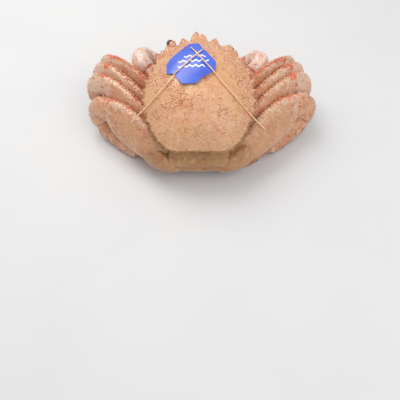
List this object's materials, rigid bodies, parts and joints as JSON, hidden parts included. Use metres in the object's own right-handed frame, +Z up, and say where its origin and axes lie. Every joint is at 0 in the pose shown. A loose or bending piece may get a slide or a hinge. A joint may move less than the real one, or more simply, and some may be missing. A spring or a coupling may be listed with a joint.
{
  "type": "horsehair crab model",
  "caption": "Life-size still model of a boiled horsehair crab with its legs folded, a blank tag and an elastic over its back.",
  "frame": {"origin": "on the floor, under the middle of the crab's bounding box", "axes": "+X towards the crab's right side, +Y towards its front, +Z up"},
  "size_m": [0.2126, 0.1202, 0.0858],
  "materials": {
    "shell": "pale orange shell, satin, set with small spines",
    "underside": "cream underside, satin",
    "limb": "pale orange shell, satin, with rows of small spines",
    "claw_tip": "dark horn, satin",
    "eye": "dark eye, glossy",
    "tag": "blue plastic tag, satin",
    "elastic": "pale elastic, matte"
  },
  "bodies": {
    "root": {"carapace": "shell", "thorax": "underside", "abdomen": "underside", "tag": "tag", "elastic": "elastic", "eye_r": "eye", "antenna_r": "limb", "antennule_r": "limb", "maxilliped_r": "underside", "claw_merus_r": "limb", "claw_carpus_r": "limb", "claw_palm_r": "limb", "claw_finger_r": "claw_tip", "leg2_merus_r": "limb", "leg2_carpus_r": "limb", "leg2_propodus_r": "limb", "leg2_dactyl_r": "claw_tip", "leg3_merus_r": "limb", "leg3_carpus_r": "limb", "leg3_propodus_r": "limb", "leg3_dactyl_r": "claw_tip", "leg4_merus_r": "limb", "leg4_carpus_r": "limb", "leg4_propodus_r": "limb", "leg4_dactyl_r": "claw_tip", "leg5_merus_r": "limb", "leg5_carpus_r": "limb", "leg5_propodus_r": "limb", "leg5_dactyl_r": "claw_tip", "eye_l": "eye", "antenna_l": "limb", "antennule_l": "limb", "maxilliped_l": "underside", "claw_merus_l": "limb", "claw_carpus_l": "limb", "claw_palm_l": "limb", "claw_finger_l": "claw_tip", "leg2_merus_l": "limb", "leg2_carpus_l": "limb", "leg2_propodus_l": "limb", "leg2_dactyl_l": "claw_tip", "leg3_merus_l": "limb", "leg3_carpus_l": "limb", "leg3_propodus_l": "limb", "leg3_dactyl_l": "claw_tip", "leg4_merus_l": "limb", "leg4_carpus_l": "limb", "leg4_propodus_l": "limb", "leg4_dactyl_l": "claw_tip", "leg5_merus_l": "limb", "leg5_carpus_l": "limb", "leg5_propodus_l": "limb", "leg5_dactyl_l": "claw_tip"}
  },
  "joints": []
}
